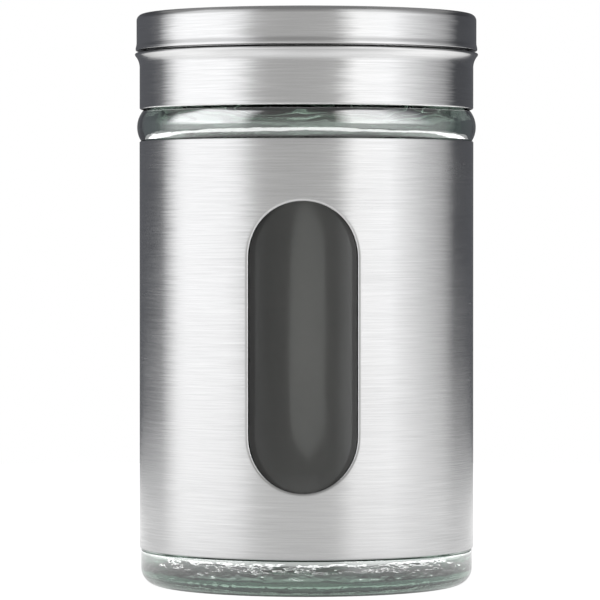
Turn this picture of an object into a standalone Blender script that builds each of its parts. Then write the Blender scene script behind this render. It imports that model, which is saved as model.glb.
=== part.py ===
"""Glass spice jar with a brushed steel sleeve and a two-tier screw lid whose top turns as a dial.

Units are metres and +Z is up.  The origin is the middle of the ring that the jar stands on, and
every turned piece shares the Z axis.  The sleeve's window faces -Y.

A steel sleeve with a window wraps the jar.  The lid is a steel collar over a threaded plastic liner.
A stepped sifter plate is trapped between the two, and a soft ring under the liner seals the jar's rim.
On top a steel cover and its plastic shutter turn about one rivet, which brings the dispensing
opening over a blank quarter, fine holes, coarse holes or the pouring opening.
"""

import math

import bmesh
import bpy

MM = 0.001
SEGMENTS = 48
HOLE_SEGMENTS = 16

# Jar body
RING_INNER_RADIUS = 24.4 * MM
RING_OUTER_RADIUS = 26.9 * MM
PUNT_HEIGHT = 2.2 * MM
PUNT_SHAPE = ((0.0, 1.0), (0.5, 0.8), (0.9, 0.25), (1.0, 0.0))
HEEL_RADIUS = 31.75 * MM
HEEL_TOP = 6.6 * MM
PANEL_RADIUS = 31.4 * MM
CAVITY_RADIUS = 29.0 * MM
FLOOR_HEIGHT = 5.2 * MM
FLOOR_CROWN = 6.4 * MM
FLOOR_CORNER = 4.0 * MM

# Jar shoulder, a torus-like bulge between the sleeve and the lid
SHOULDER_HEIGHT = 87.6 * MM
SHOULDER_ARC = 5.0 * MM
SHOULDER_RADIUS = 32.46 * MM
SHOULDER_INNER_ARC = 3.6 * MM
SHOULDER_INNER_RADIUS = 29.6 * MM
SHOULDER_START = -30
SHOULDER_END = 74

# Jar neck and its continuous thread of six turns to the inch
NECK_RADIUS = 28.5 * MM
MOUTH_RADIUS = 26.0 * MM
NECK_BOTTOM = 93.0 * MM
NECK_BLEND = 1.2 * MM
RIM_HEIGHT = 102.7 * MM
RIM_CORNER = 0.8 * MM
THREAD_LEAD = 25.4 * MM / 6
THREAD_TURNS = 1.1
THREAD_CREST_RADIUS = 29.5 * MM
THREAD_START_HEIGHT = 95.5 * MM
THREAD_ROOT_HALF = 1.0 * MM
THREAD_CREST_HALF = 0.45 * MM
THREAD_TAPER_STEPS = 4
THREAD_EMBED = 0.4 * MM

# Steel sleeve and its window
SLEEVE_RADIUS = 32.0 * MM
SLEEVE_THICKNESS = 0.3 * MM
SLEEVE_BOTTOM = 7.1 * MM
SLEEVE_TOP = 84.9 * MM
WINDOW_HEIGHT = 53.9 * MM
WINDOW_WIDTH = 20.5 * MM
WINDOW_CENTRE = 46.3 * MM

# Lid collar
SHEET = 0.4 * MM
FIT_GAP = 0.3 * MM
COLLAR_RADIUS = 31.98 * MM
COLLAR_BOTTOM = 91.0 * MM
BEAD_START = 99.0 * MM
BEAD_ARC = 3.5 * MM
BEAD_SWEEP = 42
BEAD_INNER_SWEEP = 36
LEDGE_TOP = 101.9 * MM
BOSS_RADIUS = 30.8 * MM
LIP_TOP = 106.3 * MM
LIP_INNER_RADIUS = 29.2 * MM

# Threaded liner, seal and sifter plate
LINER_BOTTOM = 92.6 * MM
LINER_ROOT_RADIUS = THREAD_CREST_RADIUS + 0.35 * MM
LINER_CREST_RADIUS = NECK_RADIUS + 0.35 * MM
LINER_THREAD_ROOT_HALF = 0.8 * MM
LINER_THREAD_CREST_HALF = 0.4 * MM
LINER_THREAD_DELAY = 30
LINER_SEAT_RADIUS = 28.9 * MM
LINER_BORE_RADIUS = 24.5 * MM
LINER_FLANGE_BOTTOM = 104.1 * MM
LINER_FLANGE_TOP = 105.1 * MM
SEAL_INNER_RADIUS = 26.3 * MM
SEAL_OUTER_RADIUS = 28.7 * MM
SEAL_BOTTOM = 102.9 * MM
SEAL_TOP = 103.9 * MM
PLATE_BOTTOM = 105.3 * MM
PLATE_STEP = 105.65 * MM
PLATE_TOP = 106.3 * MM
PLATE_FACE_RADIUS = 28.9 * MM

# Dial cover and shutter
COVER_RADIUS = 32.57 * MM
COVER_BOTTOM = 102.2 * MM
COVER_TOP = 109.2 * MM
COVER_CORNER = 1.25 * MM
COVER_FLARE = 0.18 * MM
COVER_FLARE_HEIGHT = 1.2 * MM
DIMPLE_DEPTH = 0.7 * MM
DIMPLE_RADIUS = 5.6 * MM
DIMPLE_SLOPE = 1.0 * MM
SHUTTER_RADIUS = 31.9 * MM
SHUTTER_RIM = 0.8 * MM
SHUTTER_RIM_BOTTOM = 102.6 * MM
SHUTTER_BOTTOM = 106.6 * MM
SHUTTER_TOP = 108.5 * MM
SHUTTER_CHAMFER = 0.9 * MM

# Dispensing openings, one to each quarter of the dial
OPENING_INNER_RADIUS = 9.5 * MM
OPENING_OUTER_RADIUS = 23.0 * MM
OPENING_HALF_ANGLE = 27
OPENING_CORNER = 2.0 * MM
SHUTTER_OPENING_GROWTH = 0.4 * MM
BLANK_AZIMUTH = -90
FINE_AZIMUTH = 0
COARSE_AZIMUTH = 90
POUR_AZIMUTH = 180
FINE_HOLE_RADIUS = 1.0 * MM
FINE_ROWS = ((12.0 * MM, 2, 26), (16.0 * MM, 3, 18), (20.0 * MM, 4, 13))
COARSE_HOLE_RADIUS = 2.1 * MM
COARSE_ROWS = ((12.5 * MM, 1, 0), (19.0 * MM, 2, 26))

# Pivot
BORE_RADIUS = 1.9 * MM
SHANK_RADIUS = 1.6 * MM
HEAD_RADIUS = 3.8 * MM
HEAD_BOTTOM = 108.75 * MM
HEAD_RIM = 108.9 * MM
HEAD_TOP = 109.15 * MM
HEAD_CROWN_RADIUS = 2.3 * MM
HEAD_CROWN_HEIGHT = 109.08 * MM
TAIL_RADIUS = 2.7 * MM
TAIL_BOTTOM = 103.15 * MM
TAIL_TOP = 103.75 * MM
TAIL_FACE_RADIUS = 2.2 * MM
WASHER_RADIUS = 4.2 * MM
BACKING_BOTTOM = 103.95 * MM
BACKING_TOP = 104.35 * MM
WAVE_HEIGHT = 104.85 * MM
WAVE_THICKNESS = 0.3 * MM
WAVE_AMPLITUDE = 0.15 * MM
WAVE_COUNT = 3


def clear_scene():
    for item in list(bpy.data.objects):
        bpy.data.objects.remove(item, do_unlink=True)


def make_material(name, colour, metallic, roughness, transmission=0.0):
    material = bpy.data.materials.new(name)
    material.use_nodes = True
    shader = material.node_tree.nodes["Principled BSDF"]
    shader.inputs["Base Color"].default_value = (*colour, 1.0)
    shader.inputs["Metallic"].default_value = metallic
    shader.inputs["Roughness"].default_value = roughness
    shader.inputs["Transmission Weight"].default_value = transmission
    return material


def arc(centre, radius, start, end, steps):
    """Points (radius, height) on an arc from the start angle to the end angle, in degrees."""
    points = []
    for step in range(steps + 1):
        angle = math.radians(start + (end - start) * step / steps)
        points.append((centre[0] + radius * math.cos(angle), centre[1] + radius * math.sin(angle)))
    return points


def add_object(name, bm, material, parent=None):
    bmesh.ops.recalc_face_normals(bm, faces=bm.faces)
    mesh = bpy.data.meshes.new(name)
    bm.to_mesh(mesh)
    bm.free()
    if material:
        mesh.materials.append(material)
    item = bpy.data.objects.new(name, mesh)
    bpy.context.collection.objects.link(item)
    item.parent = parent
    mesh.shade_smooth()
    mesh.set_sharp_from_angle(angle=math.radians(30))
    return item


def add_axis(name, height, parent=None):
    """An empty on the Z axis, which carries the pieces that turn or rise together."""
    axis = bpy.data.objects.new(name, None)
    bpy.context.collection.objects.link(axis)
    axis.parent = parent
    axis.location.z = height
    return axis


def turned(outline, segments=SEGMENTS):
    """Revolve (radius, height) points about Z: between two points on the axis, or as a closed ring."""
    bm = bmesh.new()
    rings = []
    for radius, height in outline:
        if radius == 0:
            rings.append([bm.verts.new((0, 0, height))])
            continue
        ring = []
        for step in range(segments):
            angle = 2 * math.pi * step / segments
            ring.append(bm.verts.new((radius * math.cos(angle), radius * math.sin(angle), height)))
        rings.append(ring)
    pairs = list(zip(rings, rings[1:]))
    if outline[0][0] > 0:
        pairs.append((rings[-1], rings[0]))
    for first, second in pairs:
        for step in range(segments):
            following = (step + 1) % segments
            corners = [first[step % len(first)], first[following % len(first)]]
            corners += [second[following % len(second)], second[step % len(second)]]
            bm.faces.new(dict.fromkeys(corners))
    return bm


def prism(outline, bottom, top):
    """Extrude an (x, y) outline from one height to the other."""
    bm = bmesh.new()
    base = bm.faces.new([bm.verts.new((x, y, bottom)) for x, y in outline])
    lifted = bmesh.ops.extrude_face_region(bm, geom=[base])
    for element in lifted["geom"]:
        if isinstance(element, bmesh.types.BMVert):
            element.co.z = top
    return bm


def add_tool(name, bm):
    """A hidden solid that a Boolean reads."""
    tool = add_object(name, bm, None)
    tool.hide_render = True
    tool.display_type = "WIRE"
    return tool


def combine(item, tool, operation):
    modifier = item.modifiers.new(tool.name, "BOOLEAN")
    modifier.operation = operation
    modifier.object = tool


def thread_ridge(root_radius, crest_radius, root_half, crest_half, start_height, start_angle):
    """A helical ridge of trapezoid section, right-handed, that fades out at both ends."""
    inward = math.copysign(THREAD_EMBED, root_radius - crest_radius)
    steps = round(THREAD_TURNS * SEGMENTS)
    bm = bmesh.new()
    sections = []
    for step in range(steps + 1):
        turn = step / SEGMENTS
        angle = math.radians(start_angle) + 2 * math.pi * turn
        height = start_height + THREAD_LEAD * turn
        fade = min(1.0, step / THREAD_TAPER_STEPS, (steps - step) / THREAD_TAPER_STEPS)
        crest = root_radius + (crest_radius - root_radius) * fade + inward / 2 * (1 - fade)
        corners = (
            (root_radius + inward, -root_half),
            (root_radius, -root_half),
            (crest, -crest_half),
            (crest, crest_half),
            (root_radius, root_half),
            (root_radius + inward, root_half),
        )
        section = []
        for radius, offset in corners:
            point = (radius * math.cos(angle), radius * math.sin(angle), height + offset)
            section.append(bm.verts.new(point))
        sections.append(section)
    for first, second in zip(sections, sections[1:]):
        for corner in range(len(first)):
            following = (corner + 1) % len(first)
            bm.faces.new((first[corner], first[following], second[following], second[corner]))
    bm.faces.new(sections[0])
    bm.faces.new(sections[-1])
    return bm


def rounded_sector(azimuth, growth=0.0):
    """Outline of a dispensing opening: a ring sector with rounded corners."""
    inner = OPENING_INNER_RADIUS - growth
    outer = OPENING_OUTER_RADIUS + growth
    corner = OPENING_CORNER + growth
    outer_half = OPENING_HALF_ANGLE - math.degrees(OPENING_CORNER / (outer - corner))
    inner_half = OPENING_HALF_ANGLE - math.degrees(OPENING_CORNER / (inner + corner))
    points = []
    corners = (
        (outer - corner, azimuth - outer_half, -90, 0),
        (outer - corner, azimuth + outer_half, 0, 90),
        (inner + corner, azimuth + inner_half, 90, 180),
        (inner + corner, azimuth - inner_half, 180, 270),
    )
    for distance, heading, start, end in corners:
        turn = math.radians(heading)
        centre = (distance * math.cos(turn), distance * math.sin(turn))
        points += arc(centre, corner, heading + start, heading + end, 4)
        if start == -90:
            points += arc((0, 0), outer, azimuth - outer_half, azimuth + outer_half, 6)[1:-1]
    return points


def make_glass_jar(material):
    shoulder = (SHOULDER_RADIUS - SHOULDER_ARC, SHOULDER_HEIGHT)
    inner_shoulder = (SHOULDER_INNER_RADIUS - SHOULDER_INNER_ARC, SHOULDER_HEIGHT)
    heel_arc = HEEL_RADIUS - RING_OUTER_RADIUS
    step = HEEL_RADIUS - PANEL_RADIUS
    outline = [(RING_INNER_RADIUS * across, PUNT_HEIGHT * up) for across, up in PUNT_SHAPE]
    outline += arc((RING_OUTER_RADIUS, heel_arc), heel_arc, -90, 0, 6)
    outline += [
        (HEEL_RADIUS, HEEL_TOP),
        (PANEL_RADIUS, HEEL_TOP + step),
        (PANEL_RADIUS, SLEEVE_TOP),
    ]
    outline += arc(shoulder, SHOULDER_ARC, SHOULDER_START, SHOULDER_END, 8)
    outline += [
        (NECK_RADIUS, NECK_BOTTOM),
        (NECK_RADIUS, RIM_HEIGHT - RIM_CORNER),
    ]
    outline += arc((NECK_RADIUS - RIM_CORNER, RIM_HEIGHT - RIM_CORNER), RIM_CORNER, 0, 90, 2)[1:]
    outline += arc((MOUTH_RADIUS + RIM_CORNER, RIM_HEIGHT - RIM_CORNER), RIM_CORNER, 90, 180, 2)
    outline += [(MOUTH_RADIUS, NECK_BOTTOM - NECK_BLEND)]
    outline += arc(inner_shoulder, SHOULDER_INNER_ARC, SHOULDER_END, SHOULDER_START, 5)
    outline += [(CAVITY_RADIUS, SLEEVE_TOP - MM)]
    floor_corner = (CAVITY_RADIUS - FLOOR_CORNER, FLOOR_HEIGHT + FLOOR_CORNER)
    outline += arc(floor_corner, FLOOR_CORNER, 0, -90, 4)
    outline += [(0, FLOOR_CROWN)]
    jar = add_object("glass_jar", turned(outline), material)
    ridge = thread_ridge(
        NECK_RADIUS, THREAD_CREST_RADIUS, THREAD_ROOT_HALF, THREAD_CREST_HALF, THREAD_START_HEIGHT, 0
    )
    combine(jar, add_tool("jar_thread", ridge), "UNION")


def make_sleeve(material):
    inner = SLEEVE_RADIUS - SLEEVE_THICKNESS
    outline = [
        (SLEEVE_RADIUS, SLEEVE_TOP),
        (SLEEVE_RADIUS, SLEEVE_BOTTOM),
        (inner, SLEEVE_BOTTOM),
        (inner, SLEEVE_TOP),
    ]
    sleeve = add_object("steel_sleeve", turned(outline), material)
    round_end = WINDOW_WIDTH / 2
    reach = WINDOW_HEIGHT / 2 - round_end
    window = arc((0, reach), round_end, 0, 180, 14) + arc((0, -reach), round_end, 180, 360, 14)
    tool = add_tool("window_cutter", prism(window, SLEEVE_RADIUS / 2, SLEEVE_RADIUS + MM))
    tool.rotation_euler.x = math.radians(90)
    tool.location.z = WINDOW_CENTRE
    combine(sleeve, tool, "DIFFERENCE")


def make_collar(material, parent):
    """Drawn steel skirt with a flared bead, a ledge, a boss and a lip turned in at the top."""
    bead_centre = (COLLAR_RADIUS + BEAD_ARC, BEAD_START)
    inner_radius = COLLAR_RADIUS - SHEET
    outline = [(COLLAR_RADIUS - SHEET / 4, COLLAR_BOTTOM), (COLLAR_RADIUS, COLLAR_BOTTOM + SHEET / 2)]
    outline += arc(bead_centre, BEAD_ARC, 180, 180 - BEAD_SWEEP, 5)
    tip_radius = outline[-1][0]
    outline += [
        (tip_radius, LEDGE_TOP - SHEET),
        (tip_radius - SHEET / 4, LEDGE_TOP - SHEET / 3),
        (tip_radius - SHEET, LEDGE_TOP),
        (BOSS_RADIUS, LEDGE_TOP),
        (BOSS_RADIUS, LIP_TOP - SHEET / 2),
        (BOSS_RADIUS - SHEET / 2, LIP_TOP),
        (LIP_INNER_RADIUS, LIP_TOP),
        (LIP_INNER_RADIUS, LIP_TOP - SHEET),
        (BOSS_RADIUS - SHEET, LIP_TOP - SHEET),
        (BOSS_RADIUS - SHEET, LEDGE_TOP - SHEET),
    ]
    outline += arc(bead_centre, BEAD_ARC + SHEET, 180 - BEAD_INNER_SWEEP, 180, 4)
    outline += [(inner_radius, COLLAR_BOTTOM)]
    add_object("collar_shell", turned(outline), material, parent)


def make_liner(material, parent):
    """Moulded ring with the lid's thread inside and a flange that presses the seal on the rim."""
    outer = COLLAR_RADIUS - SHEET - FIT_GAP
    boss = BOSS_RADIUS - SHEET - FIT_GAP
    shelf = LEDGE_TOP - SHEET - FIT_GAP
    outline = [
        (outer, LINER_BOTTOM),
        (outer, shelf),
        (boss, shelf),
        (boss, LINER_FLANGE_TOP),
        (LINER_BORE_RADIUS, LINER_FLANGE_TOP),
        (LINER_BORE_RADIUS, LINER_FLANGE_BOTTOM),
        (LINER_SEAT_RADIUS, LINER_FLANGE_BOTTOM),
        (LINER_SEAT_RADIUS, shelf + 2 * FIT_GAP),
        (LINER_ROOT_RADIUS, shelf),
        (LINER_ROOT_RADIUS, LINER_BOTTOM),
    ]
    liner = add_object("thread_liner", turned(outline), material, parent)
    delay_height = THREAD_LEAD * (LINER_THREAD_DELAY / 360 - 0.5)
    ridge = thread_ridge(
        LINER_ROOT_RADIUS,
        LINER_CREST_RADIUS,
        LINER_THREAD_ROOT_HALF,
        LINER_THREAD_CREST_HALF,
        THREAD_START_HEIGHT + delay_height,
        LINER_THREAD_DELAY,
    )
    combine(liner, add_tool("liner_thread", ridge), "UNION")


def make_seal(material, parent):
    outline = [
        (SEAL_OUTER_RADIUS, SEAL_TOP),
        (SEAL_OUTER_RADIUS, SEAL_BOTTOM),
        (SEAL_INNER_RADIUS, SEAL_BOTTOM),
        (SEAL_INNER_RADIUS, SEAL_TOP),
    ]
    add_object("seal_ring", turned(outline), material, parent)


def hole_row(name, rows, azimuth, radius, plate):
    """Cut rows of round holes, each row on its own arc about the dial's axis."""
    for distance, count, spacing in rows:
        for index in range(count):
            heading = math.radians(azimuth + spacing * (index - (count - 1) / 2))
            centre = (distance * math.cos(heading), distance * math.sin(heading))
            start = 180 / HOLE_SEGMENTS
            circle = arc(centre, radius, start, start + 360, HOLE_SEGMENTS)[:-1]
            number = len(plate.modifiers)
            tool = add_tool(f"{name}_{number}", prism(circle, PLATE_BOTTOM - MM, PLATE_TOP + MM))
            combine(plate, tool, "DIFFERENCE")


def make_sifter(material, parent):
    """Stepped plate whose edge is trapped under the collar's lip."""
    edge = BOSS_RADIUS - SHEET - FIT_GAP
    outline = [
        (edge, PLATE_STEP),
        (edge, PLATE_BOTTOM),
        (BORE_RADIUS, PLATE_BOTTOM),
        (BORE_RADIUS, PLATE_TOP),
        (PLATE_FACE_RADIUS, PLATE_TOP),
        (PLATE_FACE_RADIUS, PLATE_STEP),
    ]
    plate = add_object("sifter_plate", turned(outline), material, parent)
    pour = prism(rounded_sector(POUR_AZIMUTH), PLATE_BOTTOM - MM, PLATE_TOP + MM)
    combine(plate, add_tool("pour_cutter", pour), "DIFFERENCE")
    hole_row("fine_cutter", FINE_ROWS, FINE_AZIMUTH, FINE_HOLE_RADIUS, plate)
    hole_row("coarse_cutter", COARSE_ROWS, COARSE_AZIMUTH, COARSE_HOLE_RADIUS, plate)


def make_cover(material, parent):
    """Drawn steel cap with a flared, rounded edge and a dimple for the rivet's head."""
    inner = COVER_RADIUS - SHEET
    corner = (COVER_RADIUS - COVER_CORNER, COVER_TOP - COVER_CORNER)
    flare = COVER_RADIUS + COVER_FLARE
    outline = [
        (BORE_RADIUS, COVER_TOP - DIMPLE_DEPTH),
        (DIMPLE_RADIUS - DIMPLE_SLOPE, COVER_TOP - DIMPLE_DEPTH),
        (DIMPLE_RADIUS, COVER_TOP),
    ]
    outline += arc(corner, COVER_CORNER, 90, 0, 4)
    outline += [
        (COVER_RADIUS, COVER_BOTTOM + COVER_FLARE_HEIGHT),
        (flare, COVER_BOTTOM + SHEET),
        (flare, COVER_BOTTOM + SHEET / 2),
        (flare - SHEET / 2, COVER_BOTTOM),
        (flare - SHEET, COVER_BOTTOM + SHEET / 2),
        (inner, COVER_BOTTOM + COVER_FLARE_HEIGHT),
    ]
    outline += arc(corner, COVER_CORNER - SHEET, 0, 90, 3)
    outline += [
        (DIMPLE_RADIUS + SHEET / 2, COVER_TOP - SHEET),
        (DIMPLE_RADIUS - DIMPLE_SLOPE + SHEET / 2, COVER_TOP - SHEET - DIMPLE_DEPTH),
        (BORE_RADIUS, COVER_TOP - SHEET - DIMPLE_DEPTH),
    ]
    cover = add_object("cover_shell", turned(outline), material, parent)
    opening = prism(rounded_sector(BLANK_AZIMUTH), SHUTTER_TOP, COVER_TOP + MM)
    combine(cover, add_tool("cover_cutter", opening), "DIFFERENCE")


def make_shutter(material, parent):
    """Moulded disc inside the cover, with a rim that runs round the collar's boss."""
    rim_inner = SHUTTER_RADIUS - SHUTTER_RIM
    hub = DIMPLE_RADIUS + 2 * FIT_GAP
    outline = [
        (BORE_RADIUS, SHUTTER_TOP - DIMPLE_DEPTH),
        (hub - DIMPLE_SLOPE, SHUTTER_TOP - DIMPLE_DEPTH),
        (hub, SHUTTER_TOP),
        (SHUTTER_RADIUS - SHUTTER_CHAMFER, SHUTTER_TOP),
        (SHUTTER_RADIUS, SHUTTER_TOP - SHUTTER_CHAMFER),
        (SHUTTER_RADIUS, SHUTTER_RIM_BOTTOM),
        (rim_inner, SHUTTER_RIM_BOTTOM),
        (rim_inner, SHUTTER_BOTTOM),
        (BORE_RADIUS, SHUTTER_BOTTOM),
    ]
    shutter = add_object("shutter_disc", turned(outline), material, parent)
    outline = rounded_sector(BLANK_AZIMUTH, SHUTTER_OPENING_GROWTH)
    opening = prism(outline, SHUTTER_BOTTOM - MM, SHUTTER_TOP + MM)
    combine(shutter, add_tool("shutter_cutter", opening), "DIFFERENCE")


def make_pivot(material, parent):
    """Rivet through the cover, shutter and sifter plate, with its two washers under the plate."""
    outline = [
        (0, HEAD_TOP),
        (HEAD_CROWN_RADIUS, HEAD_CROWN_HEIGHT),
        (HEAD_RADIUS, HEAD_RIM),
        (HEAD_RADIUS, HEAD_BOTTOM),
        (SHANK_RADIUS, HEAD_BOTTOM),
        (SHANK_RADIUS, TAIL_TOP),
        (TAIL_RADIUS, TAIL_TOP),
        (TAIL_FACE_RADIUS, TAIL_BOTTOM),
        (0, TAIL_BOTTOM),
    ]
    add_object("pivot_rivet", turned(outline, SEGMENTS // 2), material, parent)
    backing = [
        (WASHER_RADIUS, BACKING_TOP),
        (WASHER_RADIUS, BACKING_BOTTOM),
        (BORE_RADIUS, BACKING_BOTTOM),
        (BORE_RADIUS, BACKING_TOP),
    ]
    add_object("backing_washer", turned(backing, SEGMENTS // 2), material, parent)
    wave = [
        (WASHER_RADIUS, WAVE_HEIGHT + WAVE_THICKNESS / 2),
        (WASHER_RADIUS, WAVE_HEIGHT - WAVE_THICKNESS / 2),
        (BORE_RADIUS, WAVE_HEIGHT - WAVE_THICKNESS / 2),
        (BORE_RADIUS, WAVE_HEIGHT + WAVE_THICKNESS / 2),
    ]
    bm = turned(wave, SEGMENTS // 2)
    for vertex in bm.verts:
        heading = math.atan2(vertex.co.y, vertex.co.x)
        vertex.co.z += WAVE_AMPLITUDE * math.cos(WAVE_COUNT * heading)
    add_object("wave_washer", bm, material, parent)


def main():
    clear_scene()
    glass = make_material("jar_glass", (0.86, 0.93, 0.90), 0.0, 0.02, 1.0)
    sleeve_steel = make_material("sleeve_steel", (0.72, 0.72, 0.71), 1.0, 0.32)
    collar_steel = make_material("collar_steel", (0.72, 0.72, 0.71), 1.0, 0.3)
    cover_steel = make_material("cover_steel", (0.72, 0.72, 0.71), 1.0, 0.3)
    liner_plastic = make_material("liner_plastic", (0.05, 0.05, 0.055), 0.0, 0.45)
    sifter_plastic = make_material("sifter_plastic", (0.05, 0.05, 0.055), 0.0, 0.4)
    shutter_plastic = make_material("shutter_plastic", (0.05, 0.05, 0.055), 0.0, 0.4)
    seal_rubber = make_material("seal_rubber", (0.75, 0.75, 0.72), 0.0, 0.6)
    rivet_steel = make_material("rivet_steel", (0.75, 0.75, 0.74), 1.0, 0.22)

    lid_axis = add_axis("lid_axis", 0)
    dial_axis = add_axis("dial_axis", 0, lid_axis)
    make_glass_jar(glass)
    make_sleeve(sleeve_steel)
    make_collar(collar_steel, lid_axis)
    make_liner(liner_plastic, lid_axis)
    make_seal(seal_rubber, lid_axis)
    make_sifter(sifter_plastic, lid_axis)
    make_pivot(rivet_steel, lid_axis)
    make_cover(cover_steel, dial_axis)
    make_shutter(shutter_plastic, dial_axis)


main()
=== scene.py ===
import math

import bmesh
import bpy
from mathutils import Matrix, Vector


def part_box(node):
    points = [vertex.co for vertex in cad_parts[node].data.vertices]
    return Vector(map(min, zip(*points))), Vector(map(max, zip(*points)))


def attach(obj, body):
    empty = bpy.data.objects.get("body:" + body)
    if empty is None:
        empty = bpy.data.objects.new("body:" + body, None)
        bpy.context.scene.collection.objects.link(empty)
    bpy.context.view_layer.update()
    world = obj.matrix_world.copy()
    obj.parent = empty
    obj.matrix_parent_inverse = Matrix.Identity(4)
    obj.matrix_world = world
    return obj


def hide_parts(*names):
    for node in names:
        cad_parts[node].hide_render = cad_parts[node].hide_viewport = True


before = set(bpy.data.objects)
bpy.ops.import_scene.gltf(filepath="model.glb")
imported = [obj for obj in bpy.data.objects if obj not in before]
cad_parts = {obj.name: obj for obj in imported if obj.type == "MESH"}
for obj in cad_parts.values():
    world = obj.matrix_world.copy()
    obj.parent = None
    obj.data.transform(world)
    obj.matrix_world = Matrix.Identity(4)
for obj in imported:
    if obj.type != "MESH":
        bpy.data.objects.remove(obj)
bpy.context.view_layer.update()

MM = 0.001
SEGMENTS = 240
SMALL_SEGMENTS = 144


# ---------------------------------------------------------------- shapes


def arc(centre, radius, start, end, steps):
    """Points (radius, height) on an arc from the start angle to the end angle, in degrees."""
    points = []
    for step in range(steps + 1):
        angle = math.radians(start + (end - start) * step / steps)
        points.append((centre[0] + radius * math.cos(angle), centre[1] + radius * math.sin(angle)))
    return points


def filleted(corners, steps=4):
    """Round each (radius, height, fillet) corner of a closed outline with an arc of its own."""
    points = []
    for index, (x, y, fillet) in enumerate(corners):
        corner = Vector((x, y))
        if fillet == 0:
            points.append((x, y))
            continue
        before = Vector(corners[index - 1][:2]) - corner
        after = Vector(corners[(index + 1) % len(corners)][:2]) - corner
        half = before.angle(after) / 2
        reach = fillet / math.tan(half)
        centre = corner + (before.normalized() + after.normalized()).normalized() * fillet / math.sin(half)
        start = (corner + before.normalized() * reach - centre).normalized()
        end = (corner + after.normalized() * reach - centre).normalized()
        for step in range(steps + 1):
            points.append(tuple(centre + start.slerp(end, step / steps) * fillet))
    return points


def add_piece(name, bm, materials, body, *nodes, slot=None):
    """Make a mesh object that rides on a body and stands for the CAD nodes named."""
    bmesh.ops.recalc_face_normals(bm, faces=bm.faces)
    mesh = bpy.data.meshes.new(name)
    bm.to_mesh(mesh)
    bm.free()
    for material in materials:
        mesh.materials.append(material)
    piece = bpy.data.objects.new(name, mesh)
    bpy.context.scene.collection.objects.link(piece)
    mesh.shade_smooth()
    mesh.set_sharp_from_angle(angle=math.radians(40))
    weighted = piece.modifiers.new("weighted_normals", "WEIGHTED_NORMAL")
    weighted.keep_sharp = True
    weighted.weight = 100
    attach(piece, body)
    if nodes:
        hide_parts(*nodes)
    return piece


def turned(outline, relief=None, segments=SEGMENTS):
    """Revolve (radius, height) points about Z: between two points on the axis, or as a closed ring.

    relief(radius, height, angle) gives how far a point stands out from the turned surface.
    """
    bm = bmesh.new()
    rings = []
    for radius, height in outline:
        if radius == 0:
            rings.append([bm.verts.new((0, 0, height))])
            continue
        ring = []
        for step in range(segments):
            angle = 2 * math.pi * step / segments
            reach = radius + (relief(radius, height, angle) if relief else 0)
            ring.append(bm.verts.new((reach * math.cos(angle), reach * math.sin(angle), height)))
        rings.append(ring)
    pairs = list(zip(rings, rings[1:]))
    if outline[0][0] > 0:
        pairs.append((rings[-1], rings[0]))
    for first, second in pairs:
        for step in range(segments):
            following = (step + 1) % segments
            corners = [first[step % len(first)], first[following % len(first)]]
            corners += [second[following % len(second)], second[step % len(second)]]
            bm.faces.new(dict.fromkeys(corners))
    return bm


def add_prism(bm, outline, bottom, top):
    """Extrude an (x, y) outline from one height to the other, as one more solid of the mesh."""
    base = bm.faces.new([bm.verts.new((x, y, bottom)) for x, y in outline])
    lifted = bmesh.ops.extrude_face_region(bm, geom=[base])
    for element in lifted["geom"]:
        if isinstance(element, bmesh.types.BMVert):
            element.co.z = top


def cut(bm, knife):
    """Take one solid out of another, and give back the solid that is left."""
    items = []
    for name, solid in (("solid", bm), ("knife", knife)):
        bmesh.ops.recalc_face_normals(solid, faces=solid.faces)
        mesh = bpy.data.meshes.new(name)
        solid.to_mesh(mesh)
        solid.free()
        item = bpy.data.objects.new(name, mesh)
        bpy.context.scene.collection.objects.link(item)
        items.append(item)
    modifier = items[0].modifiers.new("cut", "BOOLEAN")
    modifier.operation = "DIFFERENCE"
    modifier.object = items[1]
    evaluated = items[0].evaluated_get(bpy.context.evaluated_depsgraph_get())
    result = bmesh.new()
    result.from_mesh(evaluated.to_mesh())
    evaluated.to_mesh_clear()
    for item in items:
        mesh = item.data
        bpy.data.objects.remove(item)
        bpy.data.meshes.remove(mesh)
    return result


# ---------------------------------------------------------------- materials


def new_material(name):
    material = bpy.data.materials.new(name)
    material.use_nodes = True
    tree = material.node_tree
    return material, tree, tree.nodes["Principled BSDF"]


def math_node(tree, operation, first, second=None, third=None):
    node = tree.nodes.new("ShaderNodeMath")
    node.operation = operation
    for socket, value in zip(node.inputs, (first, second, third)):
        if value is None:
            continue
        if isinstance(value, bpy.types.NodeSocket):
            tree.links.new(value, socket)
        else:
            socket.default_value = value
    return node.outputs[0]


def vector_node(tree, operation, first, second=None, scale=None):
    node = tree.nodes.new("ShaderNodeVectorMath")
    node.operation = operation
    tree.links.new(first, node.inputs[0])
    if scale is not None:
        tree.links.new(scale, node.inputs["Scale"])
    elif isinstance(second, bpy.types.NodeSocket):
        tree.links.new(second, node.inputs[1])
    elif second is not None:
        node.inputs[1].default_value = second
    return node.outputs[0]


def split_vector(tree, vector):
    node = tree.nodes.new("ShaderNodeSeparateXYZ")
    tree.links.new(vector, node.inputs[0])
    return node.outputs


def object_place(tree):
    return tree.nodes.new("ShaderNodeTexCoord").outputs["Object"]


def axis_distance(tree, x, y):
    squares = math_node(tree, "ADD", math_node(tree, "MULTIPLY", x, x), math_node(tree, "MULTIPLY", y, y))
    return math_node(tree, "SQRT", squares)


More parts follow.
